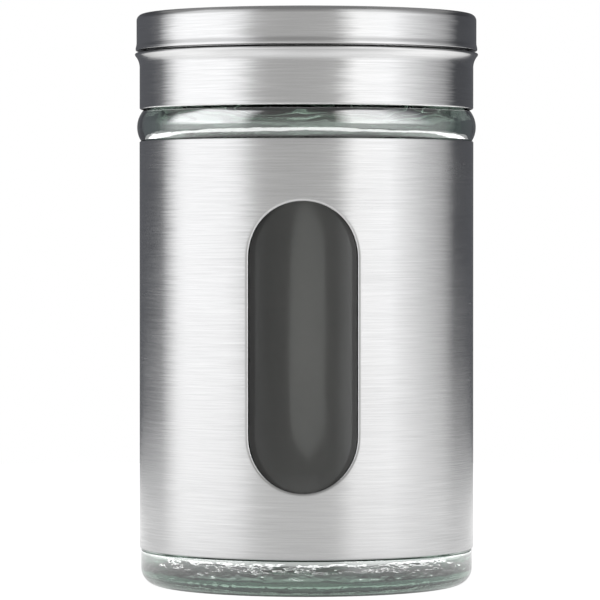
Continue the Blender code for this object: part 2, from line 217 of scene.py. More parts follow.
def ring_coordinates(tree, along, across):
    """Coordinates whose noise makes streaks that run round the axis, on walls and on flat faces.

    along and across are how many steps of the noise there are in a metre.
    """
    x, y, z = split_vector(tree, object_place(tree))
    rise = math_node(tree, "SUBTRACT", z, axis_distance(tree, x, y))
    joined = tree.nodes.new("ShaderNodeCombineXYZ")
    for socket, value, scale in zip(joined.inputs, (x, y, rise), (along, along, across)):
        tree.links.new(math_node(tree, "MULTIPLY", value, scale), socket)
    return joined.outputs[0]


def stretched(tree, vector, scale):
    node = tree.nodes.new("ShaderNodeMapping")
    node.inputs["Scale"].default_value = scale
    tree.links.new(vector, node.inputs["Vector"])
    return node.outputs[0]


def noise_value(tree, vector, scale=1.0, detail=2.0, roughness=0.5):
    node = tree.nodes.new("ShaderNodeTexNoise")
    tree.links.new(vector, node.inputs["Vector"])
    node.inputs["Scale"].default_value = scale
    node.inputs["Detail"].default_value = detail
    node.inputs["Roughness"].default_value = roughness
    return node.outputs["Fac"]


def remap(tree, value, low, high, to_low, to_high):
    node = tree.nodes.new("ShaderNodeMapRange")
    tree.links.new(value, node.inputs["Value"])
    settings = (("From Min", low), ("From Max", high), ("To Min", to_low), ("To Max", to_high))
    for name, number in settings:
        node.inputs[name].default_value = number
    return node.outputs["Result"]


def colour_between(tree, factor, first, second):
    node = tree.nodes.new("ShaderNodeMix")
    node.data_type = "RGBA"
    tree.links.new(factor, node.inputs["Factor"])
    node.inputs["A"].default_value = (*first, 1)
    node.inputs["B"].default_value = (*second, 1)
    return node.outputs["Result"]


def bumped(tree, height, strength, distance, normal=None):
    """The normal that a height gives, laid over the surface's own normal or the one given."""
    node = tree.nodes.new("ShaderNodeBump")
    node.inputs["Strength"].default_value = strength
    node.inputs["Distance"].default_value = distance
    tree.links.new(height, node.inputs["Height"])
    if normal is not None:
        tree.links.new(normal, node.inputs["Normal"])
    return node.outputs[0]


STEEL_DARK = (0.64, 0.64, 0.64)
STEEL_LIGHT = (0.72, 0.72, 0.72)
STEEL_ROUGHNESS_RANGE = 0.04


def brushed_steel(name, roughness=0.21, swing=0.035, dark=STEEL_DARK, light=STEEL_LIGHT, stretch=0.85):
    """Stainless steel brushed round the axis, so that reflections stretch along the axis.

    swing is how far broad streaks lean the normal sideways, and stretch is the anisotropy.
    """
    material, tree, shader = new_material(name)
    fine = noise_value(tree, ring_coordinates(tree, 90, 5200), detail=3.0, roughness=0.6)
    broad = noise_value(tree, ring_coordinates(tree, 110, 3600), detail=2.0)
    cloud = noise_value(tree, ring_coordinates(tree, 28, 120), detail=2.0)
    shade = colour_between(tree, remap(tree, fine, 0.3, 0.7, 0, 1), dark, light)
    tree.links.new(shade, shader.inputs["Base Color"])
    shader.inputs["Metallic"].default_value = 1.0
    shader.inputs["Anisotropic"].default_value = stretch
    shader.inputs["Anisotropic Rotation"].default_value = 0.25
    mixed = math_node(tree, "MULTIPLY", math_node(tree, "ADD", broad, cloud), 0.5)
    smoothest = roughness - STEEL_ROUGHNESS_RANGE
    roughest = roughness + STEEL_ROUGHNESS_RANGE
    tree.links.new(remap(tree, mixed, 0.3, 0.7, smoothest, roughest), shader.inputs["Roughness"])

    tangent = tree.nodes.new("ShaderNodeTangent")
    tangent.direction_type = "RADIAL"
    tangent.axis = "Z"
    tree.links.new(tangent.outputs[0], shader.inputs["Tangent"])
    lean = vector_node(
        tree, "SCALE", tangent.outputs[0], scale=remap(tree, broad, 0.25, 0.75, -swing, swing)
    )
    geometry = tree.nodes.new("ShaderNodeNewGeometry")
    normal = vector_node(tree, "NORMALIZE", vector_node(tree, "ADD", geometry.outputs["Normal"], lean))
    tree.links.new(bumped(tree, fine, 0.35, 0.02 * MM, normal), shader.inputs["Normal"])
    return material


GLASS_IOR = 1.52
GLASS_GREEN = (0.70, 0.88, 0.78)
GLASS_DENSITY = 36.0
SHOULDER_TINT = (0.82, 0.93, 0.86)
COAT_IOR = 2.2
INNER_HAZE = 0.1

# Where one look of the glass gives way to the next: the two ends of each change.
HAZE_RADIUS = (29.1 * MM, 29.3 * MM)
HAZE_BOTTOM = (10 * MM, 14 * MM)
HAZE_TOP = (80 * MM, 84 * MM)
COAT_RADIUS = (30.0 * MM, 30.3 * MM)
COAT_HEEL_TOP = (6.5 * MM, 6.9 * MM)
SHOULDER_BOTTOM = (84 * MM, 86 * MM)
LOW_SHOULDER_TOP = (86.8 * MM, 87.8 * MM)
HEEL_TOP = (4.5 * MM, 6.5 * MM)
FOOT_TOP = (2.1 * MM, 2.5 * MM)

# Relief of the glass, in millimetres from the noise's lowest to its highest.
WALL_RELIEF = 0.1
SHOULDER_RELIEF = 0.24
HEEL_RELIEF = 0.13
LOW_SHOULDER_RELIEF = 0.05
FOOT_RELIEF = 0.06


def glass_relief(tree, place, height, shoulder):
    """Slow waves everywhere, flow lines in the shoulder, mottle in the heel and a stippled foot."""
    wall = noise_value(tree, stretched(tree, place, (1, 1, 0.25)), scale=150, detail=1.0)
    bends = noise_value(tree, stretched(tree, place, (1, 1, 3.0)), scale=80, detail=0.8)
    mottle = noise_value(tree, stretched(tree, place, (1, 1, 2.2)), scale=230, detail=2.5)
    stipple = noise_value(tree, place, scale=1300, detail=1.0)
    heel = remap(tree, height, *HEEL_TOP, 1.0, 0.0)
    low_shoulder = remap(tree, height, *LOW_SHOULDER_TOP, LOW_SHOULDER_RELIEF, 0.0)
    layers = (
        (bends, math_node(tree, "MULTIPLY", shoulder, SHOULDER_RELIEF)),
        (mottle, math_node(tree, "MULTIPLY", heel, HEEL_RELIEF)),
        (mottle, math_node(tree, "MULTIPLY", shoulder, low_shoulder)),
        (stipple, remap(tree, height, *FOOT_TOP, FOOT_RELIEF, 0.0)),
    )
    relief = math_node(tree, "MULTIPLY", wall, WALL_RELIEF)
    for noise, depth in layers:
        relief = math_node(tree, "MULTIPLY_ADD", noise, depth, relief)
    return relief


def jar_glass(name):
    """Green pressed glass, with a bright coat outside the sleeve and a slight haze inside it."""
    material, tree, shader = new_material(name)
    shader.inputs["IOR"].default_value = GLASS_IOR
    shader.inputs["Transmission Weight"].default_value = 1.0
    absorption = tree.nodes.new("ShaderNodeVolumeAbsorption")
    absorption.inputs["Color"].default_value = (*GLASS_GREEN, 1)
    absorption.inputs["Density"].default_value = GLASS_DENSITY
    output = tree.nodes["Material Output"]
    tree.links.new(absorption.outputs[0], output.inputs["Volume"])

    place = object_place(tree)
    x, y, height = split_vector(tree, place)
    radius = axis_distance(tree, x, y)
    haze = remap(tree, radius, *HAZE_RADIUS, INNER_HAZE, 0.0)
    haze = math_node(tree, "MULTIPLY", haze, remap(tree, height, *HAZE_TOP, 1.0, 0.0))
    haze = math_node(tree, "MULTIPLY", haze, remap(tree, height, *HAZE_BOTTOM, 0.0, 1.0))
    tree.links.new(haze, shader.inputs["Roughness"])
    shoulder = remap(tree, height, *SHOULDER_BOTTOM, 0.0, 1.0)
    tint = colour_between(tree, shoulder, (1.0, 1.0, 1.0), SHOULDER_TINT)
    tree.links.new(tint, shader.inputs["Base Color"])

    outside = remap(tree, radius, *COAT_RADIUS, 0.0, 1.0)
    bare = math_node(tree, "ADD", shoulder, remap(tree, height, *COAT_HEEL_TOP, 1.0, 0.0))
    tree.links.new(math_node(tree, "MULTIPLY", outside, bare), shader.inputs["Coat Weight"])
    shader.inputs["Coat Roughness"].default_value = 0.0
    shader.inputs["Coat IOR"].default_value = COAT_IOR
    normal = bumped(tree, glass_relief(tree, place, height, shoulder), 1.0, MM)
    tree.links.new(normal, shader.inputs["Normal"])
    tree.links.new(normal, shader.inputs["Coat Normal"])
    return material


def moulded_plastic(name, dark, light, roughness):
    """A matt moulded surface with a fine grain."""
    material, tree, shader = new_material(name)
    place = object_place(tree)
    grain = noise_value(tree, place, scale=2600, detail=3.0)
    cloud = noise_value(tree, place, scale=120, detail=2.0)
    tree.links.new(colour_between(tree, cloud, dark, light), shader.inputs["Base Color"])
    dullness = remap(tree, grain, 0.3, 0.7, roughness - 0.06, roughness + 0.08)
    tree.links.new(dullness, shader.inputs["Roughness"])
    tree.links.new(bumped(tree, grain, 0.25, 0.03 * MM), shader.inputs["Normal"])
    return material


# ---------------------------------------------------------------- jar

HEEL_RADIUS = 31.75 * MM
HEEL_ARC = 3.3 * MM
NECK_RADIUS = 28.5 * MM
MOUTH_RADIUS = 26.0 * MM
NECK_BOTTOM = 93.0 * MM
RIM_CORNER = 0.8 * MM
THREAD_LEAD = 25.4 * MM / 6
THREAD_TURNS = 1.1
THREAD_DEPTH = 1.0 * MM
THREAD_START_HEIGHT = 95.5 * MM
THREAD_ROOT_HALF = 1.0 * MM
THREAD_CREST_HALF = 0.45 * MM
THREAD_FADE = 0.085
SAME_RADIUS = 0.01 * MM
PUNT_HEIGHT = 2.2 * MM
PUNT_ARC = 149.2 * MM
PANEL_RADIUS = 31.4 * MM
PANEL_BOTTOM = 7.0 * MM
PANEL_TOP = 84.4 * MM
BULGE_HEIGHT = 87.6 * MM
INNER_RADIUS = 29.0 * MM
INNER_TOP = 83.0 * MM
INNER_STEP = 2.0 * MM


def smooth(value):
    value = min(1.0, max(0.0, value))
    return value * value * (3 - 2 * value)


def thread_height(height, angle, start_height, start_turn, root_half, crest_half):
    """How far a right-handed ridge stands up at this height and angle, from 0 to 1."""
    tallest = 0.0
    for lap in range(3):
        turn = angle / (2 * math.pi) - start_turn + lap - 1
        if not 0 <= turn <= THREAD_TURNS:
            continue
        offset = abs(height - start_height - THREAD_LEAD * turn)
        fade = smooth(min(turn, THREAD_TURNS - turn) / THREAD_FADE)
        slope = (root_half - offset) / (root_half - crest_half)
        tallest = max(tallest, smooth(slope) * fade)
    return tallest


def jar_relief(radius, height, angle):
    """The thread that stands out from the neck."""
    if abs(radius - NECK_RADIUS) < SAME_RADIUS and height > NECK_BOTTOM + MM:
        ridge = thread_height(
            height, angle, THREAD_START_HEIGHT, 0.0, THREAD_ROOT_HALF, THREAD_CREST_HALF
        )
        return ridge * THREAD_DEPTH
    return 0.0


def jar_outline():
    """From the punt under the base, up the outside, over the rim and down to the inner floor."""
    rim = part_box("glass_jar")[1].z
    outline = [(0, PUNT_HEIGHT)]
    outline += arc((0, PUNT_HEIGHT - PUNT_ARC), PUNT_ARC, 90 - 4, 90 - 8.6, 6)
    outline += [(23.6 * MM, 0.12 * MM), (24.4 * MM, 0), (25.6 * MM, 0), (27.4 * MM, 0)]
    outline += arc((HEEL_RADIUS - HEEL_ARC, HEEL_ARC), HEEL_ARC, -90, 0, 20)
    outline += [(HEEL_RADIUS, 5.0 * MM), (HEEL_RADIUS, 6.3 * MM)]
    outline += arc((HEEL_RADIUS - 0.3 * MM, 6.6 * MM), 0.3 * MM, 0, 70, 5)
    for height in (PANEL_BOTTOM, 20 * MM, 50 * MM, 80 * MM, PANEL_TOP):
        outline.append((PANEL_RADIUS, height))
    outline += [(PANEL_RADIUS + 0.1 * MM, PANEL_TOP + 0.35 * MM)]
    outline += arc((27.46 * MM, BULGE_HEIGHT), 5.0 * MM, -30, 72, 26)
    outline += [(28.7 * MM, 92.45 * MM), (28.55 * MM, 92.6 * MM)]
    steps = 44
    neck_top = rim - RIM_CORNER
    for step in range(steps + 1):
        outline.append((NECK_RADIUS, NECK_BOTTOM + (neck_top - NECK_BOTTOM) * step / steps))
    outline += arc((NECK_RADIUS - RIM_CORNER, neck_top), RIM_CORNER, 0, 90, 6)[1:]
    outline += arc((MOUTH_RADIUS + RIM_CORNER, neck_top), RIM_CORNER, 90, 180, 6)
    outline += [(MOUTH_RADIUS, 98 * MM), (MOUTH_RADIUS, 93.5 * MM), (26.03 * MM, 92.3 * MM)]
    outline += arc((26.0 * MM, BULGE_HEIGHT), 3.6 * MM, 70, -30, 16)
    outline += [(INNER_RADIUS, 84.9 * MM)]
    for step in range(36):
        outline.append((INNER_RADIUS, INNER_TOP - INNER_STEP * step))
    outline += arc((25.0 * MM, 9.2 * MM), 4.0 * MM, 0, -84, 12)
    outline += [(20 * MM, 5.5 * MM), (12 * MM, 6.1 * MM), (5 * MM, 6.35 * MM), (0, 6.4 * MM)]
    return outline


# ---------------------------------------------------------------- sleeve

SLEEVE_SHEET = 0.3 * MM
SLEEVE_EDGE = 0.2 * MM
WINDOW_HALF = 10.43 * MM
WINDOW_HALF_HEIGHT = 26.95 * MM
WINDOW_REACH = WINDOW_HALF_HEIGHT - WINDOW_HALF
WINDOW_CENTRE = 46.3 * MM
WINDOW_LIP = 0.5 * MM
WINDOW_LIP_DEPTH = 0.28 * MM
WINDOW_SPREAD = (0.75, 0.5, 0.3, 0.15, 0.05)
PATCH_HALF_ANGLE = 30
PATCH_BOTTOM = 14.0 * MM
PATCH_TOP = 79.0 * MM
SLEEVE_COLUMNS = 288


def sleeve_point(radius, along, height, depth):
    """A point of the sheet: along is measured round the sleeve from the front, towards +X."""
    angle = along / radius
    reach = radius - depth
    return (reach * math.sin(angle), -reach * math.cos(angle), height)


def sleeve_layer(bm, radius, rows, window_rings, depth):
    """One face of the sheet: a grid of rows and columns with the window's rings let into it."""
    step = 2 * math.pi * radius / SLEEVE_COLUMNS
    half = round(SLEEVE_COLUMNS * PATCH_HALF_ANGLE / 360)
    columns = [index - SLEEVE_COLUMNS // 2 for index in range(SLEEVE_COLUMNS)]
    first = next(i for i, (z, _) in enumerate(rows) if z >= PATCH_BOTTOM)
    last = max(i for i, (z, _) in enumerate(rows) if z <= PATCH_TOP)

    grid = {}
    for row, (height, row_depth) in enumerate(rows):
        for column in columns:
            if abs(column) < half and first < row < last:
                continue
            grid[column, row] = bm.verts.new(sleeve_point(radius, column * step, height, row_depth))
    for row in range(len(rows) - 1):
        for column in columns:
            following = column + 1 if column + 1 < SLEEVE_COLUMNS // 2 else -SLEEVE_COLUMNS // 2
            if -half <= column < half and first <= row < last:
                continue
            lower = (grid[column, row], grid[following, row])
            upper = (grid[following, row + 1], grid[column, row + 1])
            bm.faces.new(lower + upper)

    border = [(column, first) for column in range(-half, half)]
    border += [(half, row) for row in range(first, last)]
    border += [(column, last) for column in range(half, -half, -1)]
    border += [(-half, row) for row in range(last, first, -1)]
    previous = [grid[place] for place in border]
    for share, offset, ring_depth in window_rings:
        ring = []
        for column, row in border:
            corner = Vector((column * step, rows[row][0]))
            nearest = max(WINDOW_CENTRE - WINDOW_REACH, corner.y)
            middle = Vector((0, min(WINDOW_CENTRE + WINDOW_REACH, nearest)))
            spoke = corner - middle
            distance = WINDOW_HALF + offset + share * (spoke.length - WINDOW_HALF - offset)
            place = middle + spoke.normalized() * distance
            ring.append(bm.verts.new(sleeve_point(radius, place.x, place.y, ring_depth)))
        for index in range(len(ring)):
            following = (index + 1) % len(ring)
            bm.faces.new((previous[index], previous[following], ring[following], ring[index]))
        previous = ring
    bottom = [grid[column, 0] for column in columns]
    top = [grid[column, len(rows) - 1] for column in columns]
    return bottom, top, previous


def sleeve_mesh():
    """A rolled sheet: an outer face and an inner face, joined at the ends and round the window."""
    low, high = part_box("steel_sleeve")
    radius = high.x
    edge = SLEEVE_EDGE
    count = 40
    length = high.z - low.z - 2 * edge
    inner_heights = [low.z + edge + length * step / count for step in range(count + 1)]
    outer_rows = [(low.z, edge), (low.z + edge * 0.3, edge * 0.3)]
    outer_rows += [(height, 0.0) for height in inner_heights]
    outer_rows += [(high.z - edge * 0.3, edge * 0.3), (high.z, edge)]
    inner_rows = [(low.z, SLEEVE_SHEET - edge / 2)]
    inner_rows += [(height, SLEEVE_SHEET) for height in inner_heights]
    inner_rows += [(high.z, SLEEVE_SHEET - edge / 2)]
    spread = [(share, WINDOW_LIP, 0.0) for share in WINDOW_SPREAD]
    lip = []
    for step in range(7):
        angle = math.radians(90 * step / 6)
        lip.append((0.0, WINDOW_LIP * (1 - math.sin(angle)), WINDOW_LIP_DEPTH * (1 - math.cos(angle))))
    bm = bmesh.new()
    outer = sleeve_layer(bm, radius, outer_rows, spread + lip, 0.0)
    spread = [(share, 0.0, SLEEVE_SHEET) for share in (*WINDOW_SPREAD, 0.0)]
    outer_faces = set(bm.faces)
    inner = sleeve_layer(bm, radius, inner_rows, spread, SLEEVE_SHEET)
    # The inner faces take the second material, the dark steel whose colour is painted shade.
    for face in set(bm.faces) - outer_faces:
        face.material_index = 1
    for first, second in zip(outer, inner):
        for index in range(len(first)):
            following = (index + 1) % len(first)
            bm.faces.new((first[index], first[following], second[following], second[index]))
    return bm


# ---------------------------------------------------------------- lid

SHEET = 0.4 * MM
BEAD_START = 99.0 * MM
BEAD_ARC = 3.5 * MM
BEAD_SWEEP = 42
COLLAR_RADIUS = 31.98 * MM
LEDGE_HEIGHT = 101.9 * MM
COVER_FLARE = 0.18 * MM
COVER_CORNER = 1.25 * MM
LINER_ROOT_RADIUS = 29.85 * MM
LINER_CREST_RADIUS = 28.85 * MM
LINER_THREAD_DELAY = 30 / 360
OPENING_INNER_RADIUS = 9.5 * MM
OPENING_OUTER_RADIUS = 23.0 * MM
OPENING_HALF_ANGLE = 27
OPENING_CORNER = 2.0 * MM
OPENING_BEVEL = 0.15 * MM
SHUTTER_OPENING_GROWTH = 0.4 * MM
BLANK_AZIMUTH = -90
POUR_AZIMUTH = 180
FINE_AZIMUTH = 0
COARSE_AZIMUTH = 90
FINE_HOLE_RADIUS = 1.0 * MM
COARSE_HOLE_RADIUS = 2.1 * MM

# Rows of holes: distance from the axis, how many, and the degrees between them.
FINE_ROWS = ((12.0 * MM, 2, 26), (16.0 * MM, 3, 18), (20.0 * MM, 4, 13))
COARSE_ROWS = ((12.5 * MM, 1, 0), (19.0 * MM, 2, 26))

BORE_RADIUS = 1.9 * MM
DIMPLE_DEPTH = 0.7 * MM


def collar_outline():
    """Up the skirt and the flared bead, in along the ledge, up the boss to the lip, and back inside."""
    low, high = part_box("collar_shell")
    radius = COLLAR_RADIUS
    boss = 30.8 * MM
    ledge = LEDGE_HEIGHT
    lip_inner = 29.2 * MM
    bead_centre = (radius + BEAD_ARC, BEAD_START)
    bead = arc(bead_centre, BEAD_ARC, 180, 180 - BEAD_SWEEP, 20)
    inside = arc(bead_centre, BEAD_ARC + SHEET, 180 - BEAD_SWEEP * 0.85, 180, 12)
    tip = high.x
    outline = filleted([
        (radius - SHEET, low.z, 0.05 * MM),
        (radius, low.z, 0.33 * MM),
        (radius, BEAD_START - MM, 0),
    ])
    outline = outline[:-1]
    outline += [(radius, low.z + 0.5 * MM), (radius, 95 * MM), (radius, BEAD_START - 0.5 * MM)]
    outline += bead[:-1]
    outline += arc((tip - 0.28 * MM, ledge - 0.42 * MM), 0.28 * MM, -35, 90, 8)
    outline += filleted([
        (32.2 * MM, ledge, 0),
        (boss, ledge, 0.25 * MM),
        (boss, high.z, 0.35 * MM),
        (lip_inner, high.z, 0.1 * MM),
        (lip_inner, high.z - SHEET, 0.1 * MM),
        (boss - SHEET, high.z - SHEET, 0.1 * MM),
        (boss - SHEET, ledge - SHEET, 0.2 * MM),
        (32.3 * MM, ledge - SHEET, 0.0),
    ])
    outline += inside
    return outline


def cover_outline():
    """Up out of the rivet's dimple, across the top, down the wall to its flared edge, and back inside."""
    low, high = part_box("cover_shell")
    flare = high.x
    radius = flare - COVER_FLARE
    corner = (radius - COVER_CORNER, high.z - COVER_CORNER)
    under = high.z - SHEET
    outline = filleted([
        (BORE_RADIUS, under - DIMPLE_DEPTH, 0.05 * MM),
        (BORE_RADIUS, high.z - DIMPLE_DEPTH, 0.1 * MM),
        (4.6 * MM, high.z - DIMPLE_DEPTH, 0.5 * MM),
        (5.6 * MM, high.z, 0.6 * MM),
        (20 * MM, high.z, 0),
        (30 * MM, high.z, 0),
    ])
    # The end corners only steer the fillets beside them, so their points are left out.
    outline = outline[2:-2]
    outline += [(12 * MM, high.z), (20 * MM, high.z), (27 * MM, high.z)]
    outline += arc(corner, COVER_CORNER, 90, 0, 12)
    outline += [(radius, high.z - 2.4 * MM), (radius, low.z + 1.6 * MM)]
    for step in range(1, 6):
        share = step / 6
        outline.append((radius + COVER_FLARE * smooth(share), low.z + (1.4 - share * 1.1) * MM))
    outline += arc((flare - 0.17 * MM, low.z + 0.19 * MM), 0.17 * MM, 0, -180, 8)
    outline += [(radius - SHEET, low.z + 1.5 * MM), (radius - SHEET, high.z - 2 * MM)]
    outline += arc(corner, COVER_CORNER - SHEET, 0, 90, 6)
    outline += [(20 * MM, under), (5.8 * MM, under)]
    outline += [(4.8 * MM, under - DIMPLE_DEPTH), (2.0 * MM, under - DIMPLE_DEPTH)]
    return outline


def rounded_sector(azimuth, growth=0.0):
    """Outline of a dispensing opening: a ring sector with rounded corners."""
    inner = OPENING_INNER_RADIUS - growth
    outer = OPENING_OUTER_RADIUS + growth
    corner = OPENING_CORNER + growth
    outer_half = OPENING_HALF_ANGLE - math.degrees(OPENING_CORNER / (outer - corner))
    inner_half = OPENING_HALF_ANGLE - math.degrees(OPENING_CORNER / (inner + corner))
    corners = (
        (outer - corner, azimuth - outer_half, -90),
        (outer - corner, azimuth + outer_half, 0),
        (inner + corner, azimuth + inner_half, 90),
        (inner + corner, azimuth - inner_half, 180),
    )
    points = []
    for distance, heading, start in corners:
        turn = math.radians(heading)
        centre = (distance * math.cos(turn), distance * math.sin(turn))
        points += arc(centre, corner, heading + start, heading + start + 90, 10)
        if start == -90:
            points += arc((0, 0), outer, azimuth - outer_half, azimuth + outer_half, 24)[1:-1]
        if start == 90:
            points += arc((0, 0), inner, azimuth + inner_half, azimuth - inner_half, 12)[1:-1]
    return points


def bevelled_knife(azimuth, growth, bottom, top):
    """A dispensing opening's solid, wider over the last stretch below the top face."""
    rings = (
        (growth, bottom), (growth, top - OPENING_BEVEL),
        (growth + OPENING_BEVEL, top), (growth + OPENING_BEVEL, top + MM),
    )
    bm = bmesh.new()
    layers = []
    for wider, height in rings:
        layers.append([bm.verts.new((x, y, height)) for x, y in rounded_sector(azimuth, wider)])
    for first, second in zip(layers, layers[1:]):
        for index in range(len(first)):
            following = (index + 1) % len(first)
            bm.faces.new((first[index], first[following], second[following], second[index]))
    bm.faces.new(layers[0])
    bm.faces.new(layers[-1])
    return bm


def liner_outline():
    """A ring with the lid's thread inside, a step over the collar's ledge and a flange over the seal."""
    low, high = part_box("thread_liner")
    outer = high.x
    boss = 30.1 * MM
    shelf = 101.2 * MM
    bore = 24.5 * MM
    flange = high.z - MM
    seat = 28.9 * MM
    outline = filleted([
        (LINER_ROOT_RADIUS, low.z, 0.25 * MM),
        (outer, low.z, 0.2 * MM),
        (outer, shelf, 0.2 * MM),
        (boss, shelf, 0),
        (boss, high.z, 0.25 * MM),
        (bore, high.z, 0.3 * MM),
        (bore, flange, 0.3 * MM),
        (seat, flange, 0),
        (seat, shelf + 0.6 * MM, 0.1 * MM),
        (LINER_ROOT_RADIUS, shelf, 0),
    ])
    steps = 42
    top = shelf - 0.1 * MM
    bottom = low.z + 0.3 * MM
    for step in range(steps + 1):
        outline.append((LINER_ROOT_RADIUS, top + (bottom - top) * step / steps))
    return outline


def liner_relief(radius, height, angle):
    """The lid's thread, which stands in from the liner's wall."""
    if abs(radius - LINER_ROOT_RADIUS) > SAME_RADIUS:
        return 0.0
    # Half a lead below the neck's ridge, so that each thread lies in the other's groove.
    start = THREAD_START_HEIGHT + THREAD_LEAD * (LINER_THREAD_DELAY - 0.5)
    ridge = thread_height(height, angle, start, LINER_THREAD_DELAY, 0.8 * MM, 0.4 * MM)
    return -ridge * (LINER_ROOT_RADIUS - LINER_CREST_RADIUS)


def ring_outline(node, inner, fillet):
    """A flat ring as high and as wide as a CAD node, with rounded edges."""
    low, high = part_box(node)
    corners = ((inner, low.z), (high.x, low.z), (high.x, high.z), (inner, high.z))
    return filleted([(*corner, fillet) for corner in corners])


def wave_washer_mesh():
    """A thin ring that rises and falls three times round."""
    low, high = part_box("wave_washer")
    wave = 0.15 * MM
    bottom = low.z + wave
    top = high.z - wave
    corners = ((BORE_RADIUS, bottom), (high.x, bottom), (high.x, top), (BORE_RADIUS, top))
    bm = turned(filleted([(*corner, 0.08 * MM) for corner in corners]), segments=SMALL_SEGMENTS)
    for vertex in bm.verts:
        vertex.co.z += wave * math.cos(3 * math.atan2(vertex.co.y, vertex.co.x))
    return bm


def rivet_outline():
    """A low domed head, the shank and the tail that is spread over the washer."""
    low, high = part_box("pivot_rivet")
    rim = high.z - 0.25 * MM
    under = high.z - 0.4 * MM
    shank = 1.6 * MM
    tail = low.z + 0.6 * MM
    outline = [(0, high.z)]
    outline += arc((0, high.z - 12 * MM), 12 * MM, 90 - 4, 90 - 11, 5)
    outline += [(2.9 * MM, high.z - 0.1 * MM)]
    outline += arc((high.x - 0.18 * MM, rim), 0.18 * MM, 60, -60, 8)
    outline += [(high.x - 0.25 * MM, under), (shank, under), (shank, tail)]
    outline += [(2.5 * MM, tail), (2.7 * MM, low.z + 0.45 * MM), (2.6 * MM, low.z + 0.2 * MM)]
    outline += [(2.1 * MM, low.z + 0.03 * MM), (1.0 * MM, low.z + 0.1 * MM), (0, low.z + 0.12 * MM)]
    return outline


def sifter_mesh():
    """The plate under the shutter: blank, fine holes, coarse holes and a pouring opening."""
    low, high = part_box("sifter_plate")
    step = low.z + 0.35 * MM
    face = 28.9 * MM
    outline = filleted([
        (BORE_RADIUS, low.z, 0),
        (high.x, low.z, 0.1 * MM),
        (high.x, step, 0.1 * MM),
        (face, step, 0),
        (face, high.z, 0.2 * MM),
        (26 * MM, high.z, 0),
        (BORE_RADIUS, high.z, 0),
    ])
    knife = bevelled_knife(POUR_AZIMUTH, 0.0, low.z - MM, high.z)
    for azimuth, radius, rows in (
        (FINE_AZIMUTH, FINE_HOLE_RADIUS, FINE_ROWS), (COARSE_AZIMUTH, COARSE_HOLE_RADIUS, COARSE_ROWS),
    ):
        for distance, count, spacing in rows:
            for index in range(count):
                heading = math.radians(azimuth + spacing * (index - (count - 1) / 2))
                centre = (distance * math.cos(heading), distance * math.sin(heading))
                add_prism(knife, arc(centre, radius, 0, 360, 40)[:-1], low.z - MM, high.z + MM)
    return cut(turned(outline), knife)


def shutter_mesh():
    """The disc inside the cover, with the same opening as the cover."""
    low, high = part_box("shutter_disc")
    hub = 6.2 * MM
    chamfer = 0.9 * MM
    face = high.z - 1.9 * MM
    outline = filleted([
        (BORE_RADIUS, high.z - DIMPLE_DEPTH, 0),
        (hub - MM, high.z - DIMPLE_DEPTH, 0),
        (hub, high.z, 0.3 * MM),
        (26 * MM, high.z, 0),
        (high.x - chamfer, high.z, 0.3 * MM),
        (high.x, high.z - chamfer, 0.3 * MM),
        (high.x, low.z, 0.2 * MM),
        (high.x - 0.8 * MM, low.z, 0.2 * MM),
        (high.x - 0.8 * MM, face, 0.3 * MM),
        (26 * MM, face, 0),
        (BORE_RADIUS, face, 0),
    ])
    knife = bevelled_knife(BLANK_AZIMUTH, SHUTTER_OPENING_GROWTH, face - MM, high.z)
    return cut(turned(outline), knife)


def cover_mesh():
    """The cap with its opening, which stands over the plate's blank quarter at rest."""
    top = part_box("cover_shell")[1].z
    return cut(turned(cover_outline()), bevelled_knife(BLANK_AZIMUTH, 0.0, top - 1.1 * MM, top))


# ---------------------------------------------------------------- build

steel_sleeve = brushed_steel("sleeve_steel_brushed", roughness=0.24, swing=0.026)
# The sleeve's inner face is a dark copy of the brushed steel: its dark base colour is painted shade, for
# the shade inside the sleeve.
steel_inside_painted_shade = brushed_steel(
    "sleeve_steel_inside", roughness=0.42, swing=0.01,
    dark=(0.18, 0.165, 0.16), light=(0.23, 0.212, 0.205), stretch=0.2,
)
steel_collar = brushed_steel("collar_steel_brushed")
steel_cover = brushed_steel("cover_steel_brushed")
steel_rivet = brushed_steel("rivet_steel_satin", roughness=0.28, swing=0.0, stretch=0.3)
glass = jar_glass("jar_glass_green")
black = moulded_plastic("plastic_black", (0.012, 0.012, 0.013), (0.02, 0.02, 0.021), 0.42)
soft = moulded_plastic("seal_silicone", (0.5, 0.5, 0.48), (0.58, 0.58, 0.56), 0.6)

add_piece("jar_body", turned(jar_outline(), jar_relief), [glass], "jar", "glass_jar", slot="jar_glass")
sleeve_steels = [steel_sleeve, steel_inside_painted_shade]
add_piece("sleeve_wrap", sleeve_mesh(), sleeve_steels, "jar", "steel_sleeve", slot="sleeve_steel")
collar = turned(collar_outline())
add_piece("collar_skirt", collar, [steel_collar], "lid", "collar_shell", slot="collar_steel")
add_piece("cover_cap", cover_mesh(), [steel_cover], "dial", "cover_shell", slot="cover_steel")
add_piece("shutter", shutter_mesh(), [black], "dial", "shutter_disc", slot="shutter_plastic")
add_piece("sifter", sifter_mesh(), [black], "lid", "sifter_plate", slot="sifter_plastic")
liner = turned(liner_outline(), liner_relief)
add_piece("liner", liner, [black], "lid", "thread_liner", slot="liner_plastic")
seal = turned(ring_outline("seal_ring", 26.3 * MM, 0.3 * MM))
add_piece("seal", seal, [soft], "seal", "seal_ring", slot="seal_rubber")
rivet = turned(rivet_outline(), segments=SMALL_SEGMENTS)
add_piece("rivet", rivet, [steel_rivet], "lid", "pivot_rivet", slot="rivet_steel")
add_piece("spring_washer", wave_washer_mesh(), [steel_rivet], "lid", "wave_washer", slot="rivet_steel")
backing = turned(ring_outline("backing_washer", BORE_RADIUS, 0.08 * MM), segments=SMALL_SEGMENTS)
add_piece("washer", backing, [steel_rivet], "lid", "backing_washer", slot="rivet_steel")


# ---------------------------------------------------------------- studio

